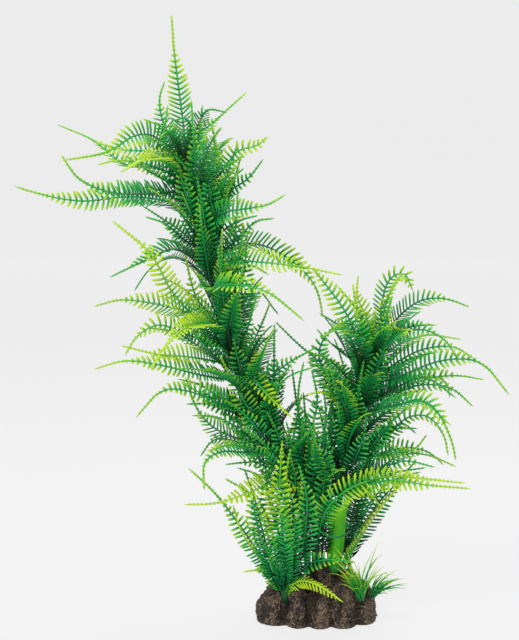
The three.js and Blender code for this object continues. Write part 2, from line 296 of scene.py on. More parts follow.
# injection-moulded polyethylene stem: darker, satin, with long draw lines
def stemFinish():
    material, tree, shader = newMaterial("mouldedPolyethyleneStem", Roughness=0.45, IOR=1.51)
    place = addNode(tree, "ShaderNodeTexCoord")
    # draw lines about 1.1 mm apart and 17 mm long
    stretch = addNode(tree, "ShaderNodeMapping", {"Scale": (900.0, 900.0, 60.0)},
                      {"Vector": place.outputs["Object"]})
    lines = addNode(tree, "ShaderNodeTexNoise", {"Scale": 1.0, "Detail": 3.0},
                    {"Vector": stretch.outputs["Vector"]})
    ramp = addNode(tree, "ShaderNodeValToRGB", {"stops": [(0.3, "#0b3d1e"), (0.75, "#17692f")]},
                   {"Fac": lines.outputs["Fac"]})
    tree.links.new(ramp.outputs["Color"], shader.inputs["Base Color"])
    bump = addNode(tree, "ShaderNodeBump", {"Strength": 0.3, "Distance": 0.0003},
                   {"Height": lines.outputs["Fac"]})
    tree.links.new(bump.outputs["Normal"], shader.inputs["Normal"])
    return material


# soft moulded vinyl sheath: smooth, a little waxy, veined lengthwise and paler at its upper edge
def sheathFinish():
    material, tree, shader = newMaterial("mouldedVinylSheath", Roughness=0.4, IOR=1.53,
                                         Specular_IOR_Level=0.3)
    height = addNode(tree, "ShaderNodeAttribute", {"attribute_name": "along"})
    rim = addNode(tree, "ShaderNodeAttribute", {"attribute_name": "across"})
    place = addNode(tree, "ShaderNodeTexCoord")
    # veins about 0.9 mm apart and 25 mm long
    stretch = addNode(tree, "ShaderNodeMapping", {"Scale": (1100.0, 1100.0, 40.0)},
                      {"Vector": place.outputs["Object"]})
    veins = addNode(tree, "ShaderNodeTexNoise", {"Scale": 1.0, "Detail": 2.0},
                    {"Vector": stretch.outputs["Vector"]})
    veinShift = addNode(tree, "ShaderNodeMath", {"operation": "MULTIPLY_ADD", 1: 0.3, 2: -0.15},
                        {0: veins.outputs["Fac"]})
    amount = addNode(tree, "ShaderNodeMath", {"operation": "ADD", "use_clamp": True},
                     {0: height.outputs["Fac"], 1: veinShift.outputs[0]})
    ramp = addNode(tree, "ShaderNodeValToRGB", {"stops": [
        (0.0, "#0a6b2a"), (1.0, "#7cdc20"), (0.08, "#128f30"), (0.2, "#44c01c"), (0.7, "#5cd01c")]},
        {"Fac": amount.outputs[0]})
    paler = addNode(tree, "ShaderNodeMix", {"data_type": "RGBA", 7: linearColour("#86cf2a")},
                    {0: rim.outputs["Fac"], 6: ramp.outputs["Color"]})
    tree.links.new(paler.outputs[2], shader.inputs["Base Color"])
    bump = addNode(tree, "ShaderNodeBump", {"Strength": 0.3, "Distance": 0.0003},
                   {"Height": veins.outputs["Fac"]})
    tree.links.new(bump.outputs["Normal"], shader.inputs["Normal"])
    return material


# extruded and crimped grass: thin shiny blades, dark at the root and yellow-lime at the end
def grassFinish():
    material, tree, shader = newMaterial("crimpedPolyethyleneGrass", Roughness=0.38, IOR=1.51)
    along = addNode(tree, "ShaderNodeAttribute", {"attribute_name": "along"})
    tint = addNode(tree, "ShaderNodeAttribute", {"attribute_name": "tint"})
    place = addNode(tree, "ShaderNodeTexCoord")
    # flecks about 2 mm long
    fleck = addNode(tree, "ShaderNodeTexNoise", {"Scale": 500.0, "Detail": 2.0},
                    {"Vector": place.outputs["Object"]})
    fleckShift = addNode(tree, "ShaderNodeMath", {"operation": "MULTIPLY_ADD", 1: 0.2, 2: -0.1},
                         {0: fleck.outputs["Fac"]})
    withTint = addNode(tree, "ShaderNodeMath", {"operation": "ADD"},
                       {0: along.outputs["Fac"], 1: tint.outputs["Fac"]})
    amount = addNode(tree, "ShaderNodeMath", {"operation": "ADD", "use_clamp": True},
                     {0: withTint.outputs[0], 1: fleckShift.outputs[0]})
    ramp = addNode(tree, "ShaderNodeValToRGB", {"stops": [
        (0.0, "#04622a"), (1.0, "#cbe42a"), (0.36, "#0c9236"), (0.62, "#3fb524"), (0.86, "#a8d811")]},
        {"Fac": amount.outputs[0]})
    tree.links.new(ramp.outputs["Color"], shader.inputs["Base Color"])
    return material


# cast polyester resin filled with stone dust: matt and gritty, with painted shade dark in the hollows,
# tan on the high spots, partly the resin's own tan and partly a painted highlight
def castFinish():
    material, tree, shader = newMaterial("castStoneFilledResin", Roughness=0.88, IOR=1.5)
    relief = addNode(tree, "ShaderNodeAttribute", {"attribute_name": "relief"})
    place = addNode(tree, "ShaderNodeTexCoord")
    # grit grains about 1 mm, and the tan's speckle about 0.8 mm
    grit = addNode(tree, "ShaderNodeTexNoise", {"Scale": 1000.0, "Detail": 3.0, "Roughness": 0.7},
                   {"Vector": place.outputs["Object"]})
    dust = addNode(tree, "ShaderNodeTexNoise", {"Scale": 1250.0, "Detail": 2.0},
                   {"Vector": place.outputs["Object"]})
    # tan patches about 9 mm across, which limit the tan and the painted highlight on the high spots
    patches = addNode(tree, "ShaderNodeTexNoise", {"Scale": 110.0, "Detail": 4.0, "Roughness": 0.65},
                      {"Vector": place.outputs["Object"]})
    body = addNode(tree, "ShaderNodeValToRGB",
                   {"stops": [(0.38, "#1d1714"), (0.62, "#9a8671"), (0.5, "#4c3d32")]},
                   {"Fac": grit.outputs["Fac"]})
    # the high spots' colour: the resin's own tan and a painted highlight, speckled
    tanAndHighlightColour = addNode(tree, "ShaderNodeValToRGB", {"stops": [(0.42, "#2e231c"), (0.64, "#b98a62")]},
                    {"Fac": dust.outputs["Fac"]})
    high = addNode(tree, "ShaderNodeMapRange", {"From Min": 0.42, "From Max": 0.95},
                   {"Value": relief.outputs["Fac"]})
    patch = addNode(tree, "ShaderNodeMapRange", {"From Min": 0.3, "From Max": 0.85},
                    {"Value": patches.outputs["Fac"]})
    # where the tan and the painted highlight go: the high spots, in patches
    tanAndHighlightMask = addNode(tree, "ShaderNodeMath", {"operation": "MULTIPLY", "use_clamp": True},
                      {0: high.outputs["Result"], 1: patch.outputs["Result"]})
    tan = addNode(tree, "ShaderNodeMix", {"data_type": "RGBA"},
                  {0: tanAndHighlightMask.outputs[0], 6: body.outputs["Color"], 7: tanAndHighlightColour.outputs["Color"]})
    # painted shade in the hollows, the grooves and the cavity
    paintedHollowShade = addNode(tree, "ShaderNodeMapRange",
                     {"From Min": 0.0, "From Max": 0.36, "To Min": 0.75, "To Max": 0.0},
                     {"Value": relief.outputs["Fac"]})
    deep = addNode(tree, "ShaderNodeMix", {"data_type": "RGBA", 7: linearColour("#120d0b")},
                   {0: paintedHollowShade.outputs["Result"], 6: tan.outputs[2]})
    tree.links.new(deep.outputs[2], shader.inputs["Base Color"])
    bump = addNode(tree, "ShaderNodeBump", {"Strength": 0.7, "Distance": 0.0006},
                   {"Height": grit.outputs["Fac"]})
    tree.links.new(bump.outputs["Normal"], shader.inputs["Normal"])
    return material


# moulded polyethylene twig, dyed through: dull brown with a bark grain that runs along it
def twigFinish():
    material, tree, shader = newMaterial("dyedPolyethyleneTwig", Roughness=0.62, IOR=1.51)
    place = addNode(tree, "ShaderNodeTexCoord")
    # bark ridges about 0.7 mm wide and 5.5 mm long
    stretch = addNode(tree, "ShaderNodeMapping", {"Scale": (1400.0, 1400.0, 180.0)},
                      {"Vector": place.outputs["Object"]})
    bark = addNode(tree, "ShaderNodeTexNoise", {"Scale": 1.0, "Detail": 4.0},
                   {"Vector": stretch.outputs["Vector"]})
    ramp = addNode(tree, "ShaderNodeValToRGB", {"stops": [(0.3, "#24140c"), (0.75, "#6b4327")]},
                   {"Fac": bark.outputs["Fac"]})
    tree.links.new(ramp.outputs["Color"], shader.inputs["Base Color"])
    bump = addNode(tree, "ShaderNodeBump", {"Strength": 0.6, "Distance": 0.0005},
                   {"Height": bark.outputs["Fac"]})
    tree.links.new(bump.outputs["Normal"], shader.inputs["Normal"])
    return material


frondPlastic = frondFinish()
stemPlastic = stemFinish()
sheathVinyl = sheathFinish()
grassPlastic = grassFinish()
castResin = castFinish()
twigPlastic = twigFinish()
print("finishes made")


# the rings of a swept CAD solid, in order from the end nearest to a point
def sweptRings(nodeName, perRing, nearTo):
    mesh = frame["nodes"][nodeName].data
    places = np.array([v.co for v in mesh.vertices])
    # the mesh's split corners made one again
    merged, index = np.unique(np.round(places, 7), axis=0, return_inverse=True)
    index = index.ravel()
    neighbours = [set() for _ in merged]
    for edge in mesh.edges:
        a, b = index[edge.vertices[0]], index[edge.vertices[1]]
        neighbours[a].add(b)
        neighbours[b].add(a)
    # the ring farthest from the middle first, then from ring to ring along the edges
    farthest = merged[np.argmax(np.linalg.norm(merged - merged.mean(0), axis=1))]
    level = list(np.argsort(np.linalg.norm(merged - farthest, axis=1))[:perRing])
    seen = set(level)
    rings = []
    while level:
        rings.append(merged[level])
        level = sorted({n for v in level for n in neighbours[v]} - seen)
        seen.update(level)
    rings = [ring for ring in rings if len(ring) == perRing]
    if np.linalg.norm(rings[0].mean(0) - nearTo) > np.linalg.norm(rings[-1].mean(0) - nearTo):
        rings.reverse()
    return rings


bladeCorners = 4  # a frond's CAD blade: two edges, and the top and underside of its rib
stemCorners = 8
pairings = [((0, 1), (2, 3)), ((0, 2), (1, 3)), ((0, 3), (1, 2))]


# the ways to take a ring's corners as two edges and two rib points: both spans, and the middle of each
def spans(ring):
    for first, second in pairings:
        for edge, rib in ((first, second), (second, first)):
            yield (ring[edge[1]] - ring[edge[0]], ring[rib[1]] - ring[rib[0]],
                   ring[list(edge)].mean(0), ring[list(rib)].mean(0))


def likeness(span, direction):
    return abs(np.dot(unit(span), direction))


# a frond's rib and the way its web faces, from the four corners of each ring
def frondRoute(nodeName, nearTo):
    rings = sweptRings(nodeName, bladeCorners, nearTo)
    widths = [max(np.linalg.norm(span[0]) for span in spans(ring)) for ring in rings]
    start = int(np.argmax(widths[:8]))  # the widest ring near the foot, where the edges can't be mistaken
    edge, rib, edgeMiddle, ribMiddle = max(spans(rings[start]), key=lambda span: np.linalg.norm(span[0]))
    rib = rib * np.sign(np.dot(edgeMiddle - ribMiddle, rib))
    normals = [None] * len(rings)
    points = [None] * len(rings)
    for order in (range(start, len(rings)), range(start, -1, -1)):
        side, normal = unit(edge), unit(rib)
        for k in order:
            best = max(spans(rings[k]), key=lambda span: likeness(span[0], side) + likeness(span[1], normal))
            side = unit(best[0]) * np.sign(np.dot(best[0], side))
            normal = unit(best[1]) * np.sign(np.dot(best[1], normal))
            points[k], normals[k] = best[3], normal
    return np.array(points), np.array(normals)


origin = np.zeros(3)
stemRoutes = {
    stem: smoothPath(np.array([ring.mean(0) for ring in sweptRings(stem + "_stem", stemCorners, origin)]), 4)
    for stem in ("tall", "right", "middle")
}
stubLow, stubHigh = (np.array(corner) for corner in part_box("front_stub"))
stubTop = stubHigh * [0.5, 0.5, 1] + stubLow * [0.5, 0.5, 0]


# the middle of a stem at a height
def stemPlace(stem, height):
    route = stemRoutes[stem]
    return np.array([np.interp(height, route[:, 2], route[:, k]) for k in range(3)])


print("stem routes", {stem: np.round(route[[0, -1]], 3).tolist() for stem, route in stemRoutes.items()})


frondShape = {
    "leafletLength": 11.5 * mm,
    "leafletHalfWidth": 1.12 * mm,
    "leafletThickness": 0.42 * mm,
    "leafletCrown": 0.28 * mm,
    "leafletSweep": 0.1,
    "leafletDroop": 0.08,
    "leafletTwist": 0.15,
    # a leaflet's outline: share along, share of its half width
    "outline": [(0.0, 0.6), (0.35, 0.95), (0.76, 0.96), (0.94, 0.6), (1.0, 0.2)],
    "pitchAtFoot": 2.3 * mm,
    "pitchOuter": 4.4 * mm,
    "beadPitch": 3.1 * mm,
    "firstLeaflet": 3 * mm,
    "lastLeaflet": 1.5 * mm,  # before the tip
    "bareFrom": (0.66, 0.82),  # share of the rib where the leaflets give way to beads
    "fold": (16, 40),  # degrees that each row folds up
    "fullSizeFrom": 110 * mm,  # a shorter frond has smaller leaflets
    "ribRadius": 0.85 * mm,
    "ribLift": 0.1 * mm,
    "ribRings": 32,
    "ribCorners": 6,
    "tintSpread": 0.07,
}
# how far single leaflets stray from the rest
frondStray = {"lean": 0.05, "rise": 0.06, "length": (0.93, 1.05), "twist": 0.12, "pitch": (0.94, 1.06)}
leafletRings = len(frondShape["outline"])
leafletCorners = 6 * leafletRings  # each ring has an upper and an under side, crowned in the middle

ringAcross = np.array([-1, 0, 1, 1, 0, -1.0])
ringUp = np.array([0, 1, 0, 0, 1, 0.0])
ringUnder = np.array([0, 0, 0, 1, 1, 1.0])
leafletQuads = np.vstack([loftQuads(leafletRings, 6), [(0, 1, 4, 5), (1, 2, 3, 4)],
                          np.array([(5, 4, 1, 0), (4, 3, 2, 1)]) + leafletCorners - 6])


# rows of leaflets, all at once: one closed, slightly arched strip with a round end for each
def leafletRows(base, ahead, over, length, halfWidth, sweep, droop):
    u, w = np.array(frondShape["outline"]).T
    wide = unit(np.cross(over, ahead))
    along = ahead[:, None, :] * (length[:, None] * u)[:, :, None]
    along = along + wide[:, None, :] * (sweep[:, None] * length[:, None] * u ** 2)[:, :, None]
    along = along - over[:, None, :] * (droop[:, None] * length[:, None] * u ** 2)[:, :, None]
    across = halfWidth[:, None, None] * w[None, :, None] * ringAcross
    lift = ringUp * frondShape["leafletCrown"] - ringUnder * frondShape["leafletThickness"]
    widthShare = halfWidth / frondShape["leafletHalfWidth"]
    lift = lift[None, None, :] * widthShare[:, None, None] * np.ones_like(across)
    points = (base[:, None, None, :] + along[:, :, None, :] + wide[:, None, None, :] * across[..., None]
              + over[:, None, None, :] * lift[..., None])
    ends = np.broadcast_to(u[None, :, None], across.shape)
    return points.reshape(-1, 3), ends.reshape(-1)


# the rings of points round a line, at each of its places
def ringsRound(places, side, up, radii, corners):
    turns = np.arange(corners) / corners * 2 * math.pi
    ring = side[:, None, :] * np.cos(turns)[None, :, None] + up[:, None, :] * np.sin(turns)[None, :, None]
    return places[:, None, :] + ring * radii[:, None, None]


# where the leaflets and beads sit on a rib, from its foot up
def leafletMarks(dice, total, bare, size, start):
    outer = frondShape["pitchOuter"]
    marks = []
    s = start
    while s < total - frondShape["lastLeaflet"]:
        marks.append(s)
        share = s / total
        pitch = np.interp(share, [0.15, 0.45, 0.68], [frondShape["pitchAtFoot"], 0.82 * outer, outer])
        if share >= bare:
            pitch = frondShape["beadPitch"]
        s += pitch * dice.uniform(*frondStray["pitch"]) * (0.6 + 0.4 * size)
    return np.array(marks)


def strayOfOne(dice):
    return [dice.gauss(0, frondStray["lean"]), dice.gauss(0, frondStray["rise"]),
            dice.uniform(*frondStray["length"]), dice.gauss(0, frondStray["twist"])]


# a comb: a rib along the route, two rows of leaflets folded up from it, and a tip of mere beads
def makeFrond(name, points, normals, look, replaced=()):
    dice = random.Random(name)
    path = smoothPath(points, 6)
    facing = smoothPath(normals, 6)
    length = np.concatenate([[0], np.cumsum(np.linalg.norm(np.diff(path, axis=0), axis=1))])
    total = length[-1]

    def sample(values, s):
        return np.stack([np.interp(s, length, values[:, k]) for k in range(3)], -1)

    # the rib's place at a distance from its foot, and the ways ahead, up and sideways there
    def at(s):
        step = 0.6 * mm
        ahead = unit(sample(path, s + step) - sample(path, s - step))
        up = sample(facing, s)
        up = unit(up - ahead * (up * ahead).sum(-1, keepdims=True))
        return sample(path, s), ahead, up, np.cross(ahead, up)

    bare = look.get("bare", dice.uniform(*frondShape["bareFrom"]))
    size = look.get("size", 1.0) * min(1.0, 0.45 + total / frondShape["fullSizeFrom"] * 0.55)
    marks = leafletMarks(dice, total, bare, size, look.get("firstLeaflet", frondShape["firstLeaflet"]))
    share = marks / total
    # along the rib: leaflets grow quickly from the foot, shrink towards the bare tip and end as beads;
    # they are narrow near the foot, and slant forward most at both ends
    lengthShare = np.interp(share, [0, 0.04, 0.13, 0.4, 0.75 * bare, bare - 0.05, bare + 0.02, 1],
                            [0.3, 0.5, 0.92, 1, 0.82, 0.42, 0.1, 0.06])
    widthShare = np.interp(share, [0, 0.2, 0.45, 0.65, bare, bare + 0.03, 1],
                           [0.52, 0.58, 0.8, 0.93, 0.8, 0.9, 0.6])
    slant = np.radians(np.interp(share, [0, 0.2, 0.5, bare, bare + 0.04, 1], [42, 26, 18, 30, 55, 60]))
    fold = math.radians(look.get("fold", dice.uniform(*frondShape["fold"])))
    parts, alongs, acrosses, quads = [], [], [], []
    count = 0
    place, ahead, up, side = at(marks)
    for hand in (1, -1):
        stray = np.array([strayOfOne(dice) for _ in marks])
        lean = slant + stray[:, 0]
        rise = fold + np.interp(share, [0, 0.5, 1], [0.4, 0, -0.15]) + stray[:, 1]
        outward = side * hand * np.cos(rise)[:, None] + up * np.sin(rise)[:, None]
        direction = unit(outward * np.cos(lean)[:, None] + ahead * np.sin(lean)[:, None])
        over = unit(np.cross(direction, ahead)) * hand
        twist = stray[:, 3] + frondShape["leafletTwist"]
        wide = np.cross(over, direction)
        over = over * np.cos(twist)[:, None] + wide * np.sin(twist)[:, None] * hand
        leafletLength = frondShape["leafletLength"] * size * lengthShare * stray[:, 2]
        halfWidth = frondShape["leafletHalfWidth"] * (0.5 + 0.5 * size) * widthShare
        base = place + side * hand * 0.3 * mm  # just inside the rib
        row, ends = leafletRows(base, direction, over, leafletLength, halfWidth,
                                np.full(len(marks), frondShape["leafletSweep"] * hand),
                                np.full(len(marks), frondShape["leafletDroop"]))
        parts.append(row)
        acrosses.append(ends)
        alongs.append(np.repeat(share, leafletCorners))
        firsts = leafletCorners * np.arange(len(marks))[:, None, None]
        quads.append((leafletQuads[None] + firsts).reshape(-1, 4) + count)
        count += len(row)
    ribMarks = np.linspace(0, total, frondShape["ribRings"])
    place, ahead, up, side = at(ribMarks)
    ribShare = ribMarks / total
    radius = np.interp(ribShare, [0, 0.7, 0.97, 1], [1, 0.82, 0.7, 0.25]) * frondShape["ribRadius"]
    corners = frondShape["ribCorners"]
    rib = ringsRound(place, side, up, radius, corners) + up[:, None, :] * frondShape["ribLift"]
    parts.append(rib.reshape(-1, 3))
    # the rib turns lime later than its leaflets
    alongs.append(np.repeat(0.14 + 0.9 * ribShare ** 1.3, corners))
    acrosses.append(np.zeros(len(ribMarks) * corners))
    last = corners * (len(ribMarks) - 1)
    footCap = [(0, 1, 2, 3), (0, 3, 4, 5)]
    tipCap = [(last + 3, last + 2, last + 1, last), (last + 5, last + 4, last + 3, last)]
    quads.append(np.vstack([loftQuads(len(ribMarks), corners), footCap, tipCap]) + count)
    alongs = np.concatenate(alongs)
    tint = look.get("tint", dice.gauss(0.0, frondShape["tintSpread"]))
    numbers = {"along": alongs, "across": np.concatenate(acrosses), "tint": np.full(len(alongs), tint)}
    objectFromQuads(name, np.vstack(parts), np.vstack(quads), numbers, frondPlastic, replaced)


# how much further towards lime, or towards dark below 0, single fronds are painted: hundredths of the whole
# ramp, in the order of the frond numbers of each stem
paintShifts = {
    "tall": [12, 0, 10, -15, 10, 2, 36, 0, 10, 5, 0, -15, 5, 22, -20, -20, 4, 30, 15, 30, -10, -15, 15, 5,
             -12, 0, 45, 2],
    "right": [5, 36, -5, -10, 0, 15, 2, 0, -12, -12, 0, -16, 10, -5, 20],
    "middle": [-16, -16],
    "front": [2, 2, -12, 52, -22, -20],
}

# what isn't left to chance: where the leaflets end, their size, and how far they fold up in degrees
ownLooks = {
    "tall_frond_01": {"bare": 0.76},
    "tall_frond_03": {"bare": 0.6},
    "tall_frond_09": {"bare": 0.93},
    "right_frond_01": {"bare": 0.95},
    "right_frond_07": {"bare": 0.92},
    "front_frond_02": {"bare": 0.88},
    "front_frond_04": {"bare": 0.9, "size": 0.75, "fold": -38},
}

# a rib is drawn on from its foot, where the CAD solid stops short: down into the stub, or into its stem
frondFoot = {"stubReach": 12 * mm, "stubDrop": 8 * mm, "stemReach": 4.2 * mm, "stemDrop": 1.5 * mm}


# the end of a CAD frond that is nearer to its stem
def frondAnchor(nodeName, group):
    if group == "front":
        return stubTop
    rings = sweptRings(nodeName, bladeCorners, origin)
    ends = [rings[0].mean(0), rings[-1].mean(0)]
    return min(ends, key=lambda end: np.linalg.norm(stemRoutes[group] - end, axis=1).min())


def makeCadFronds():
    names = sorted(n for n in frame["nodes"] if "_frond_" in n)
    for nodeName in names:
        group, _, number = nodeName.split("_")
        points, normals = frondRoute(nodeName, frondAnchor(nodeName, group))
        if group == "front":
            reach = frondFoot["stubReach"]
            root = stubTop - [0, 0, frondFoot["stubDrop"]]
        else:
            reach = frondFoot["stemReach"]
            root = stemPlace(group, points[0][2] - frondFoot["stemDrop"])
        toRoot = root - points[0]
        points = np.vstack([points[0] + unit(toRoot) * min(reach, np.linalg.norm(toRoot)), points])
        normals = np.vstack([normals[0], normals])
        look = {"tint": paintShifts[group][int(number) - 1] / 100, **ownLooks.get(nodeName, {})}
        makeFrond(nodeName + "_comb", points, normals, look, [nodeName])
    return len(names)


print("fronds on CAD routes", makeCadFronds())


# the outline's finer fronds, more than the CAD has room for: stem, height of the foot, share of the web
# that faces front, paint shift in hundredths, then the rib's places, all in mm
outlineFronds = [
    ("tall", 302, 0.7, -20, [(-64, -18, 322), (-51, -26, 331), (-40, -30, 345)]),
    ("tall", 336, 0.7, 10, [(-120, 18, 350), (-145, 26, 352), (-167, 30, 358)]),
    ("tall", 344, 0.6, 5, [(-104, -12, 360), (-113, -16, 368), (-127, -20, 374)]),
    ("tall", 270, 0.8, -5, [(-62, -10, 284), (-46, -16, 299), (-32, -20, 302)]),
    ("tall", 338, 0.9, -25, [(-92, -14, 362), (-96, -20, 374), (-104, -24, 373)]),
    ("tall", 286, 0.9, -8, [(-88, -20, 322), (-90, -28, 356), (-92, -26, 388)]),
    ("tall", 300, 0.85, -12, [(-104, -16, 330), (-112, -22, 356), (-109, -22, 384)]),
    ("tall", 296, 0.8, -4, [(-78, 8, 330), (-76, 14, 356), (-79, 16, 374)]),
    ("tall", 192, 0.6, 32, [(-92, -20, 200), (-118, -34, 204), (-142, -44, 211)]),
    ("tall", 186, 0.5, -25, [(-84, 26, 200), (-106, 40, 212), (-128, 44, 216)]),
    ("tall", 178, 0.7, -22, [(-50, 18, 192), (-44, 26, 203), (-34, 30, 212)]),
    ("tall", 182, 0.6, 25, [(-48, -16, 184), (-36, -26, 172), (-19, -32, 157)]),
    ("tall", 178, 0.9, 30, [(-50, 10, 190), (-54, 14, 206), (-59, 18, 226)]),
    ("tall", 204, 0.9, -15, [(-66, -18, 226), (-60, -26, 244), (-54, -28, 262)]),
    ("tall", 202, 0.8, 18, [(-82, -10, 226), (-92, -16, 252), (-99, -18, 285)]),
    ("tall", 122, 0.6, -20, [(-52, 14, 130), (-76, 26, 132), (-88, 32, 118)]),
    ("tall", 146, 0.4, -12, [(-32, -22, 168), (-23, -32, 186), (-3, -38, 195)]),
    ("tall", 236, 0.8, 8, [(-66, -20, 256), (-50, -32, 268), (-36, -40, 262)]),
    ("right", 126, 0.5, -20, [(44, -10, 138), (62, -16, 150), (73, -18, 143)]),
    ("right", 120, 0.6, 5, [(48, -16, 128), (70, -24, 132), (80, -28, 144)]),
    ("right", 100, 0.5, 35, [(26, -12, 100), (38, -18, 98), (48, -22, 88)]),
    ("right", 184, 0.8, -8, [(44, -14, 206), (50, -22, 228), (54, -26, 246)]),
    ("right", 196, 0.9, 14, [(46, -14, 222), (52, -22, 246), (61, -26, 262)]),
    ("right", 148, 0.7, 26, [(18, -18, 166), (4, -28, 175), (-9, -34, 174)]),
    ("right", 160, 0.5, -20, [(56, -18, 176), (78, -30, 186), (100, -36, 172)]),
    ("right", 132, 0.8, -22, [(22, -22, 158), (12, -32, 182), (8, -36, 200)]),
    ("middle", 84, 0.9, -24, [(0, -4, 112), (-5, -14, 134), (-12, -18, 152)]),
    ("middle", 76, 0.6, 40, [(-4, 2, 92), (-14, -8, 101), (-28, -14, 98)]),
    ("middle", 92, 0.8, 20, [(-6, 8, 126), (-16, 2, 142), (-28, -2, 140)]),
    ("middle", 90, 0.95, -22, [(-6, -6, 112), (-12, -12, 140), (-14, -14, 172), (-10, -12, 196)]),
    ("middle", 86, 0.9, -18, [(10, 2, 110), (14, -4, 138), (18, -8, 166), (26, -8, 192)]),
    ("middle", 80, 0.95, -26, [(2, -10, 104), (4, -18, 130), (6, -20, 158), (4, -18, 182)]),
    ("right", 104, 0.9, -22, [(14, -8, 124), (10, -14, 146), (10, -16, 166), (14, -16, 182)]),
    ("right", 122, 0.9, -18, [(26, -12, 146), (30, -18, 172), (34, -20, 198)]),
    ("tall", 110, 0.9, -22, [(-24, -6, 126), (-30, -12, 144), (-38, -14, 160)]),
    ("tall", 130, 0.9, -18, [(-34, -10, 152), (-38, -16, 176), (-36, -18, 198)]),
    ("tall", 100, 0.9, -20, [(-10, -8, 122), (-4, -12, 146), (0, -14, 168), (-4, -12, 190)]),
    ("tall", 90, 0.8, -16, [(-24, -8, 108), (-32, -14, 126), (-44, -18, 140), (-58, -20, 148)]),
    ("tall", 270, 0.95, -14, [(-90, -16, 296), (-98, -24, 326), (-104, -26, 352)]),
    ("tall", 280, 0.95, -18, [(-78, -18, 304), (-80, -26, 332), (-86, -28, 360)]),
    ("tall", 256, 0.95, -20, [(-80, -18, 282), (-84, -24, 308), (-88, -26, 334)]),
    ("tall", 310, 0.9, -10, [(-86, -16, 336), (-86, -22, 362), (-84, -22, 384)]),
    ("tall", 112, 0.8, 0, [(-44, 8, 128), (-58, 14, 146), (-66, 18, 168)]),
    ("tall", 96, 0.8, -12, [(-30, -12, 112), (-46, -20, 128), (-62, -26, 136), (-80, -30, 132)]),
    ("tall", 118, 0.9, -14, [(-40, -12, 140), (-54, -20, 158), (-70, -24, 170)]),
    ("tall", 136, 0.9, 6, [(-50, -14, 160), (-62, -20, 182), (-72, -24, 202)]),
    ("tall", 160, 0.9, -16, [(-54, -10, 180), (-60, -18, 204), (-64, -22, 230)]),
    ("tall", 228, 0.9, -12, [(-66, -12, 250), (-58, -20, 274), (-54, -22, 298)]),
    ("right", 112, 0.8, -16, [(38, -14, 130), (52, -22, 150), (66, -26, 164)]),
    ("right", 130, 0.7, -4, [(44, 8, 148), (62, 14, 166), (84, 18, 172)]),
    ("right", 108, 0.6, -10, [(44, -16, 116), (64, -26, 124), (86, -30, 120)]),
    ("right", 154, 0.9, -12, [(40, -14, 178), (48, -20, 204), (56, -22, 226)]),
    ("right", 92, 0.9, -20, [(10, -14, 110), (0, -20, 130), (-6, -22, 152)]),
    ("right", 96, 0.9, -24, [(26, -14, 118), (34, -22, 142), (36, -24, 164)]),
    ("tall", 140, 0.6, 0, [(-62, -12, 158), (-80, -20, 170), (-100, -26, 182)]),
    ("tall", 128, 0.6, -8, [(-56, -16, 146), (-74, -24, 156), (-92, -28, 158)]),
    ("tall", 110, 0.6, -10, [(-36, -12, 120), (-52, -20, 122), (-68, -24, 121)]),
    ("tall", 206, 0.6, 14, [(-96, -14, 216), (-116, -22, 224), (-132, -26, 216), (-141, -28, 202)]),
    ("tall", 322, 0.7, 12, [(-108, -12, 334), (-124, -20, 341), (-144, -26, 344), (-160, -28, 341)]),
    ("tall", 276, 0.7, -14, [(-98, -10, 286), (-112, -16, 298), (-126, -20, 303)]),
    ("right", 118, 0.5, 4, [(50, -14, 138), (64, -20, 154), (80, -24, 157), (92, -26, 144), (96, -26, 128)]),
    ("right", 150, 0.5, -6, [(56, -10, 170), (76, -16, 179), (98, -20, 177), (114, -22, 164)]),
    ("right", 104, 0.5, 8, [(46, 8, 112), (64, 12, 122), (84, 14, 122), (106, 14, 113)]),
    ("right", 150, 0.8, -14, [(20, -14, 172), (8, -18, 188), (-8, -20, 197)]),
    ("right", 200, 0.9, 22, [(36, -6, 222), (29, -8, 238), (26, -8, 254)]),
    ("tall", 160, 0.7, -16, [(-72, -16, 170), (-86, -24, 180), (-102, -30, 185)]),
    ("tall", 150, 0.8, -18, [(-66, -18, 160), (-80, -26, 166), (-96, -32, 167)]),
    ("tall", 190, 0.9, -14, [(-56, -12, 208), (-50, -18, 226), (-45, -22, 246)]),
    ("tall", 280, 0.8, -12, [(-70, -12, 292), (-58, -18, 300), (-44, -20, 304)]),
    ("middle", 88, 0.9, -20, [(-10, -4, 112), (-18, -10, 132), (-23, -12, 152)]),
    ("middle", 96, 0.9, -14, [(-6, 4, 124), (-8, 0, 148), (-10, -2, 172)]),
    ("right", 98, 0.6, -12, [(40, -12, 106), (58, -18, 114), (80, -20, 118)]),
    ("right", 122, 0.7, -10, [(42, -12, 136), (56, -16, 146), (74, -18, 147)]),
    ("right", 176, 0.5, -4, [(58, -8, 194), (78, -12, 205), (100, -14, 207), (116, -14, 198)]),
    ("right", 158, 0.5, 6, [(60, 4, 172), (84, 8, 181), (106, 8, 183), (126, 8, 180)]),
]

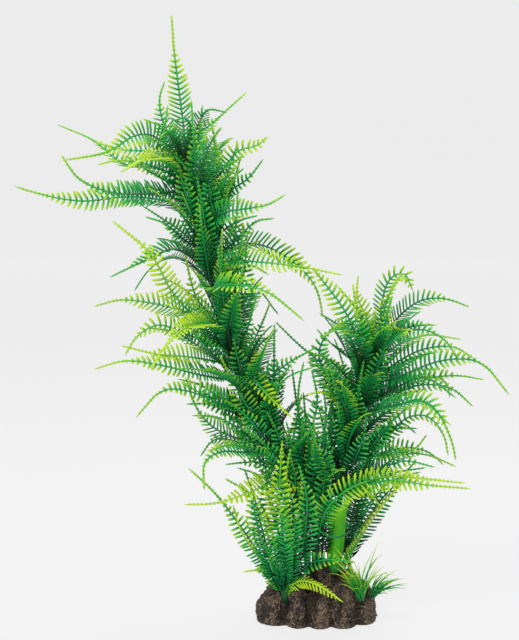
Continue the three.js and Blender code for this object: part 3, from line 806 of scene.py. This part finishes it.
# fronds that stand in the stump itself: foot, share that faces front, paint shift, places, the share where
# the tip goes bare, and how far up the first leaflets sit
plantedFronds = [
    ((0, 0, 42), 0.8, 24, [(1, -8, 60), (3, -18, 76), (9, -26, 91), (22, -32, 104), (38, -34, 111),
                           (56, -34, 114), (80, -34, 112), (108, -34, 109)], 0.8, 38),
    ((25, 8, 36), 0.9, -22, [(28, 10, 54), (38, 12, 70), (50, 14, 88), (63, 14, 102), (76, 14, 118)],
     0.78, 8),
    ((-8, 8, 36), 0.9, -26, [(-9, 8, 64), (-12, 4, 96), (-18, 0, 124), (-22, -2, 140)], 0.8, 8),
    ((-2, 4, 40), 0.95, -28, [(-2, 0, 68), (-3, -6, 96), (-2, -10, 122), (2, -12, 140)], 0.85, 8),
    ((10, 10, 38), 0.9, -28, [(10, 12, 66), (9, 12, 100), (8, 8, 132), (2, 4, 158)], 0.8, 8),
    ((22, 10, 36), 0.9, -24, [(26, 14, 64), (32, 16, 92), (40, 16, 118), (52, 14, 136)], 0.8, 8),
    ((-14, 4, 32), 0.9, -22, [(-16, 2, 56), (-18, -4, 82), (-16, -10, 108), (-20, -12, 126)], 0.85, 8),
    ((-4, 14, 38), 0.6, -22, [(-12, 22, 62), (-24, 28, 86), (-42, 34, 102), (-60, 38, 108)], 0.72, 8),
    ((20, 14, 36), 0.6, -24, [(30, 24, 62), (44, 32, 84), (60, 38, 98), (82, 42, 104)], 0.72, 8),
    ((2, 16, 38), 0.7, -20, [(2, 30, 66), (0, 46, 92), (-4, 60, 104), (-6, 74, 100)], 0.75, 8),
    ((-24, -15, 20), 0.6, 30, [(-32, -20, 34), (-43, -26, 42), (-55, -30, 42)], 0.6, 8),
    ((-25, -14, 20), 0.8, 22, [(-36, -24, 44), (-48, -32, 60), (-57, -36, 76), (-62, -36, 93)], 0.42, 8),
    ((-23, -16, 20), 0.9, -10, [(-22, -20, 40), (-20, -22, 60), (-22, -20, 82)], 0.8, 8),
    ((-24, -15, 20), 0.9, 4, [(-27, -24, 50), (-30, -28, 80), (-38, -30, 104), (-50, -30, 118)], 0.8, 8),
    ((-23, -16, 20), 0.9, -8, [(-20, -24, 50), (-21, -28, 80), (-24, -30, 108), (-20, -30, 134)], 0.8, 8),
    ((-25, -15, 20), 0.9, -2, [(-34, -24, 48), (-44, -30, 76), (-50, -32, 100), (-68, -32, 112)], 0.8, 8),
    ((-20, -14, 22), 0.9, -20, [(-14, -22, 46), (-9, -26, 72), (-8, -28, 98), (-14, -28, 122)], 0.85, 8),
    ((-16, 0, 34), 0.9, -18, [(-26, -6, 60), (-34, -12, 86), (-38, -16, 112), (-36, -18, 136)], 0.85, 8),
    ((4, -2, 44), 0.95, -24, [(5, -10, 66), (4, -14, 88), (6, -16, 112), (12, -18, 134)], 0.85, 8),
    ((16, 8, 40), 0.9, -20, [(24, 8, 64), (30, 6, 88), (36, 4, 112), (48, 2, 130)], 0.85, 8),
    ((19, -4, 38), 0.05, 44, [(29, -8, 56), (40, -10, 75), (53, -12, 93), (68, -14, 110)], 0.9, 8),
    ((30, -2, 84), 0.7, -30, [(29, -16, 74), (16, -20, 66), (4, -20, 69), (-2, -18, 77)], 0.12, 8),
]


stemRadius = 1.6 * mm  # where the finer fronds leave their stems


# the way a web faces: between straight up and straight to the front
def facedNormals(points, face):
    upper = unit(upward * (1 - face) + toFront * face)
    ahead = unit(np.gradient(points, axis=0))
    return unit(upper - ahead * (ahead @ upper)[:, None])


def makeFinerFronds():
    for number, (stem, height, face, shift, places) in enumerate(outlineFronds, 1):
        places = np.array(places) * mm
        axis = stemPlace(stem, height * mm)
        outward = unit((places[0] - axis) * [1, 1, 0])
        points = smoothPath(np.vstack([axis + outward * stemRadius, places]), 3)
        makeFrond(f"{stem}_outline_{number:02d}", points, facedNormals(points, face), {"tint": shift / 100})
    for number, (foot, face, shift, places, bare, start) in enumerate(plantedFronds, 1):
        points = smoothPath(np.array([foot] + places) * mm, 3)
        makeFrond(f"planted_{number:02d}", points, facedNormals(points, face),
                  {"tint": shift / 100, "bare": bare, "firstLeaflet": start * mm})


makeFinerFronds()
print("outline and planted fronds", len(outlineFronds), len(plantedFronds))


# one arching route: it leaves the stem at an angle, bends over and droops or curls
def archRoute(foot, bearing, startRise, endRise, length, sideBend, roll):
    steps = 12
    bendLate = 1.15  # above 1 it bends more towards its tip
    place = foot.copy()
    points, normals = [], []
    for k in range(steps + 1):
        share = k / steps
        rise = math.radians(startRise + (endRise - startRise) * share ** bendLate)
        heading = math.radians(bearing + sideBend * share)
        outward = np.array([math.cos(heading), math.sin(heading), 0])
        sideways = np.array([-math.sin(heading), math.cos(heading), 0])
        over = -math.sin(rise) * outward + math.cos(rise) * upward
        points.append(place.copy())
        normals.append(over * math.cos(roll) + sideways * math.sin(roll))
        place = place + (math.cos(rise) * outward + math.sin(rise) * upward) * length / steps
    return np.array(points), np.array(normals)


# seeded whorls fill the inside of the plant: heights in mm, and how far from the stem they may reach sideways
whorls = {
    "tall": {"from": 104, "to": 326, "step": 13, "ceiling": 368, "halfSpread": 40},
    "right": {"from": 98, "to": 206, "step": 13, "ceiling": 236, "halfSpread": 42},
    "middle": {"from": 58, "to": 96, "step": 13, "ceiling": 165, "halfSpread": 30},
}
whorlShape = {
    "perWhorl": 3,
    "riseBetween": 3,  # mm from one frond of a whorl to the next
    "firstBearing": 20.0,
    "turnBetween": 137.5,  # degrees, so that no two stand in line
    "squeeze": 0.66,  # keeps them to the front and the back, where the outline's fronds aren't
    "length": (84, 128),
    "startRise": (42, 82),
    "endRise": (-5, 64),
    "sideBend": 40,
    "roll": 0.9,
    # the tint runs mostly towards dark: painted shade for the fronds inside the plant, with a random tint for each
    # frond
    "paint": (-0.3, 0.06),
    "seed": 11,
}
fitting = {"tries": 14, "lower": 7, "shorten": 0.95, "straighten": 0.8}  # "lower" is in degrees


# bent down and shortened until it keeps inside the outline and the CAD's box
def fittedArch(stem, whorl, foot, bearing, startRise, endRise, length, sideBend, roll):
    frontLimit = cadBox[0][1] + frondShape["leafletLength"]
    backLimit = cadBox[1][1] - 0.5 * frondShape["leafletLength"]
    for _ in range(fitting["tries"]):
        points, normals = archRoute(foot, bearing, startRise, endRise, length, sideBend, roll)
        stemAcross = np.array([stemPlace(stem, z)[0] for z in points[:, 2]])
        tooHigh = points[:, 2].max() > whorl["ceiling"] * mm
        tooDeep = points[:, 1].min() < frontLimit or points[:, 1].max() > backLimit
        tooWide = tooDeep or np.abs(points[:, 0] - stemAcross).max() > whorl["halfSpread"] * mm
        if not tooHigh and not tooWide:
            break
        startRise -= fitting["lower"] * tooHigh
        endRise -= fitting["lower"] * tooHigh
        length *= fitting["shorten"] if tooWide else 1
        sideBend *= fitting["straighten"]
    return points, normals


def fillWhorls():
    dice = random.Random(whorlShape["seed"])
    made = 0
    for stem, whorl in whorls.items():
        turned = whorlShape["firstBearing"]
        for height in range(whorl["from"], whorl["to"], whorl["step"]):
            for k in range(whorlShape["perWhorl"]):
                turned = (turned + whorlShape["turnBetween"]) % 360
                middle = 90 if turned < 180 else 270
                bearing = middle + (turned - middle) * whorlShape["squeeze"]
                outward = np.array([math.cos(math.radians(bearing)), math.sin(math.radians(bearing)), 0])
                foot = stemPlace(stem, (height + whorlShape["riseBetween"] * k) * mm) + outward * stemRadius
                startRise = dice.uniform(*whorlShape["startRise"])
                endRise = dice.uniform(*whorlShape["endRise"])
                length = dice.uniform(*whorlShape["length"]) * mm
                sideBend = dice.uniform(-1, 1) * whorlShape["sideBend"]
                roll = dice.uniform(-1, 1) * whorlShape["roll"]
                shift = dice.uniform(*whorlShape["paint"])
                points, normals = fittedArch(stem, whorl, foot, bearing, startRise, endRise, length,
                                             sideBend, roll)
                made += 1
                makeFrond(f"{stem}_infill_{made:03d}", points, normals, {"tint": shift})
    return made


print("infill fronds", fillWhorls())


# the stump's skin: how deep and how wide each layer of its relief is
stumpSkin = {
    "voxel": 0.8 * mm,
    "smoothing": 4,
    "fadeFrom": 0.6 * mm,  # the relief dies out towards the flat underside
    "fadeOver": 3 * mm,
    "lump": 1.7 * mm,
    "lumpScale": 11 * mm,
    "streakAcross": 4 * mm,
    "streakDown": 16 * mm,
    "pit": 1.5 * mm,
    "pitScale": 3.0 * mm,
    "pitMean": 0.55,
    "grit": 0.8 * mm,
    "gritScale": 1.5 * mm,
    "hollowAt": Vector((-5, -29, 25)) * mm,
    "hollowSize": 6 * mm,
    "hollowDepth": 6 * mm,
    "grooves": (-24, -5, 16, 29),  # the flutes' grooves, from left to right
    "grooveWidth": 2.6 * mm,
    "grooveDepth": 2.6 * mm,
    "wander": 2.2 * mm,  # how far they stray on their way down
    "wanderAcross": 30 * mm,
    "wanderDown": 13 * mm,
}


# a fine even mesh over a copy of the CAD solid
def stumpMesh():
    source = bpy.data.objects.new("stumpSource", frame["nodes"]["driftwood_stump"].data.copy())
    bpy.context.scene.collection.objects.link(source)
    remesh = source.modifiers.new("skin", "REMESH")
    remesh.mode = "VOXEL"
    remesh.voxel_size = stumpSkin["voxel"]
    soften = source.modifiers.new("soften", "SMOOTH")
    soften.factor = 0.5
    soften.iterations = stumpSkin["smoothing"]
    mesh = bpy.data.meshes.new_from_object(source.evaluated_get(bpy.context.evaluated_depsgraph_get()))
    bpy.data.objects.remove(source)
    return mesh


# how far a point of the skin moves out, and its relief from 0 in the hollows to 1 on the high spots
def stumpRelief(p, normal):
    skin = stumpSkin
    fade = min(1.0, max(0.0, (p.z - skin["fadeFrom"]) / skin["fadeOver"]))
    lump = noise.noise(p / skin["lumpScale"])
    across = skin["streakAcross"]
    streak = noise.noise(Vector((p.x / across, p.y / across, p.z / skin["streakDown"])))
    pit = noise.turbulence(p / skin["pitScale"], 2, False) - skin["pitMean"]
    grit = noise.noise(p / skin["gritScale"])
    dip = math.exp(-((p - skin["hollowAt"]).length / skin["hollowSize"]) ** 2)
    wander = skin["wander"] * noise.noise(Vector((0, p.y / skin["wanderAcross"], p.z / skin["wanderDown"])))
    groove = max(math.exp(-((p.x - g * mm - wander) / skin["grooveWidth"]) ** 2) for g in skin["grooves"])
    groove *= abs(normal.y) ** 0.5  # none on the stump's ends
    push = skin["lump"] * (lump + 0.5 * streak) + skin["pit"] * pit + skin["grit"] * grit
    # the relief also sets where the stump's painted shade and painted highlight go
    relief = 0.5 + 0.5 * lump + 0.45 * streak + 0.5 * pit + 0.35 * grit - 1.4 * dip - 0.6 * groove
    out = fade * (push - skin["hollowDepth"] * dip - skin["grooveDepth"] * groove)
    return out, min(1.0, max(0.0, relief))


def makeStump():
    mesh = stumpMesh()
    reliefs = np.zeros(len(mesh.vertices))
    normals = [v.normal.copy() for v in mesh.vertices]
    for i, vertex in enumerate(mesh.vertices):
        out, reliefs[i] = stumpRelief(vertex.co, normals[i])
        vertex.co += normals[i] * out
        vertex.co.z = max(vertex.co.z, 0.0)
    layer = mesh.attributes.new("relief", "FLOAT", "POINT")
    layer.data.foreach_set("value", reliefs.astype(np.float32))
    mesh.polygons.foreach_set("use_smooth", [True] * len(mesh.polygons))
    mesh.name = "castStump"
    addPiece("castStump", mesh, castResin, ["driftwood_stump"])
    return len(mesh.polygons)


print("stump faces", makeStump())


# the stems and the stub keep their CAD shapes and get their own finish
for nodeName in ("tall_stem", "right_stem", "middle_stem", "front_stub"):
    stemMesh = frame["nodes"][nodeName].data
    stemMesh.materials.clear()
    stemMesh.materials.append(stemPlastic)


sheath = {
    "radius": 6.6,
    "thickness": 0.8,
    "foot": 36.0,
    "head": 84.0,
    "lobe": 9.0,  # how far its points rise above its head
    "frill": (1.6, 1.1),  # how ragged its foot is, 5 and 8 times round
    "waves": 0.035,
    "paleRim": 0.06,
    "sides": 36,
    "rows": 26,
}


# the sheath wraps the right stem's foot: a thin shell with a ragged foot and pointed lobes at its head
def makeSheath():
    sides, rows = sheath["sides"], sheath["rows"]
    outer, inner, along, across = [], [], [], []
    for r in range(rows):
        share = r / (rows - 1)
        for k in range(sides):
            turn = 2 * math.pi * k / sides
            lobe = max(0.0, math.cos(turn + 0.5)) ** 3 + 0.55 * max(0.0, math.cos(turn - 2.2)) ** 4
            frill = sheath["frill"][0] * math.sin(5 * turn) + sheath["frill"][1] * math.sin(8 * turn + 1)
            low = sheath["foot"] + frill
            height = low + (sheath["head"] + sheath["lobe"] * lobe - low) * share
            axis = stemPlace("right", height * mm)
            swell = np.interp(share, [0, 0.06, 0.18, 0.5, 0.85, 1],
                              [1.0, 0.82, 0.9, 1.0, 0.97, 0.95 + 0.35 * lobe])
            radius = sheath["radius"] * swell * (1 + sheath["waves"] * math.sin(3 * turn + 0.6))
            outward = np.array([math.cos(turn), math.sin(turn), 0])
            outer.append(axis + outward * radius * mm)
            inner.append(axis + outward * (radius - sheath["thickness"]) * mm)
            along.append(share)
            across.append(max(0.0, (share - 1 + sheath["paleRim"]) / sheath["paleRim"]))
    count = rows * sides
    outside = loftQuads(rows, sides)[:, ::-1]
    inside = loftQuads(rows, sides) + count
    k = np.arange(sides)
    j = (k + 1) % sides
    top = (rows - 1) * sides
    rim = np.stack([top + k, top + j, count + top + j, count + top + k], -1)
    hem = np.stack([j, k, count + k, count + j], -1)
    numbers = {"along": along * 2, "across": across * 2}
    objectFromQuads("stemSheath", np.array(outer + inner), np.vstack([outside, inside, rim, hem]), numbers,
                    sheathVinyl, ["stem_sleeve"])


makeSheath()

twig = {"radius": 1.9, "taper": 0.8, "rough": 0.15, "sway": 0.7, "knots": (9, 19), "knotSize": 0.45,
        "tip": 0.25, "sides": 12, "stations": 28, "seed": 3}


# a thin twig that leans across the CAD peg's box, with two knots and a pointed tip
def makeTwig():
    low, high = (np.array(corner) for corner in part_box("driftwood_peg"))
    dice = random.Random(twig["seed"])
    share = np.linspace(0, 1, twig["stations"])
    middle = (low[1] + high[1]) / 2
    foot = np.array([high[0] - twig["radius"] * mm, middle - 0.4 * mm, low[2]])
    head = np.array([low[0] + twig["radius"] * mm, middle + 0.6 * mm, high[2]])
    sway = np.array([1.0, 0.4, 0]) * twig["sway"] * mm * np.sin(share * 7)[:, None]
    points = foot + (head - foot) * share[:, None] + sway
    rough = np.array([dice.uniform(-twig["rough"], twig["rough"]) for _ in share])
    radii = (twig["radius"] - twig["taper"] * share) * mm + rough * mm
    radii[list(twig["knots"])] += twig["knotSize"] * mm
    radii[-1] = twig["tip"] * mm
    ahead = unit(np.gradient(points, axis=0))
    side = unit(np.cross(ahead, toFront + 0.01))  # never quite in line with the twig
    rings = ringsRound(points, side, np.cross(side, ahead), radii, twig["sides"])
    objectFromQuads("brownTwig", rings.reshape(-1, 3), loftQuads(len(points), twig["sides"]), {}, twigPlastic,
                    ["driftwood_peg"])


makeTwig()

grassShape = {"halfWidth": 0.5 * mm, "thickness": 0.2 * mm, "stations": 10, "rootSpread": (2.4, 1.2),
              "tintSpread": 0.12}
# places, leans and reaches in mm; "bend" is how much the ends turn up or down
tufts = {
    "grass_tuft_upright": {"blades": 46, "root": (32, -23.5, 19), "lean": (-3, -5, 24), "spread": 24,
                           "reach": (22, 46), "tint": 0.16, "bend": (-30, 6), "seed": 5},
    "grass_tuft_side": {"blades": 30, "root": (41, -19.5, 20.5), "lean": (18, -5, 10), "spread": 15,
                        "reach": (14, 32), "tint": -0.14, "bend": (-20, 2), "seed": 8},
}


# a tuft of thin blades, four-sided and tapered, that rise from one root and arch outward
def makeTuft(nodeName, tuft):
    dice = random.Random(tuft["seed"])
    parts, alongs, tints, quads = [], [], [], []
    count = 0
    stations = grassShape["stations"]
    share = np.linspace(0, 1, stations)
    thick = grassShape["thickness"]
    spreadX, spreadY = grassShape["rootSpread"]
    for _ in range(tuft["blades"]):
        beside = [dice.uniform(-spreadX, spreadX), dice.uniform(-spreadY, spreadY), 0]
        root = (np.array(tuft["root"]) + beside) * mm
        stray = [dice.uniform(-1, 1) * tuft["spread"] for _ in range(3)]
        lean = np.array(tuft["lean"]) + stray * np.array([1, 1, 0.5])
        reach = dice.uniform(*tuft["reach"]) * mm
        start = unit(lean * [0.45, 0.45, 1.0] + [0, 0, 6])
        end = unit(lean * [1.2, 1, 1] + [0, 0, dice.uniform(*tuft["bend"])])
        heading = unit(start + (end - start) * share[:, None] ** 1.2)
        points = root + np.vstack([np.zeros(3), np.cumsum(heading[:-1], axis=0)]) * reach / (stations - 1)
        turned = np.array([dice.uniform(-0.6, 0.6), 0, dice.uniform(-0.3, 0.3)])
        wide = unit(np.cross(heading, toFront + turned))
        over = np.cross(wide, heading)
        width = grassShape["halfWidth"] * np.interp(share, [0, 0.2, 0.7, 1], [0.8, 1, 0.7, 0.12])[:, None]
        ring = [points - wide * width, points + over * thick,
                points + wide * width, points - over * thick * 0.5]
        parts.append(np.stack(ring, 1).reshape(-1, 3))
        quads.append(np.vstack([loftQuads(stations, 4), [(0, 1, 2, 3)]]) + count)
        count += 4 * stations
        alongs.append(np.repeat(share, 4))
        tints.append(np.full(4 * stations, tuft["tint"] + dice.gauss(0, grassShape["tintSpread"])))
    numbers = {"along": np.concatenate(alongs), "tint": np.concatenate(tints)}
    objectFromQuads(nodeName + "_blades", np.vstack(parts), np.vstack(quads), numbers, grassPlastic,
                    [nodeName])


for nodeName, tuft in tufts.items():
    makeTuft(nodeName, tuft)
print("stems, sheath, twig and grass dressed")

made = [o for o in bpy.data.objects if o.type == "MESH" and not o.get("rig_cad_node")]
print("triangles", sum(2 * len(o.data.polygons) for o in made))
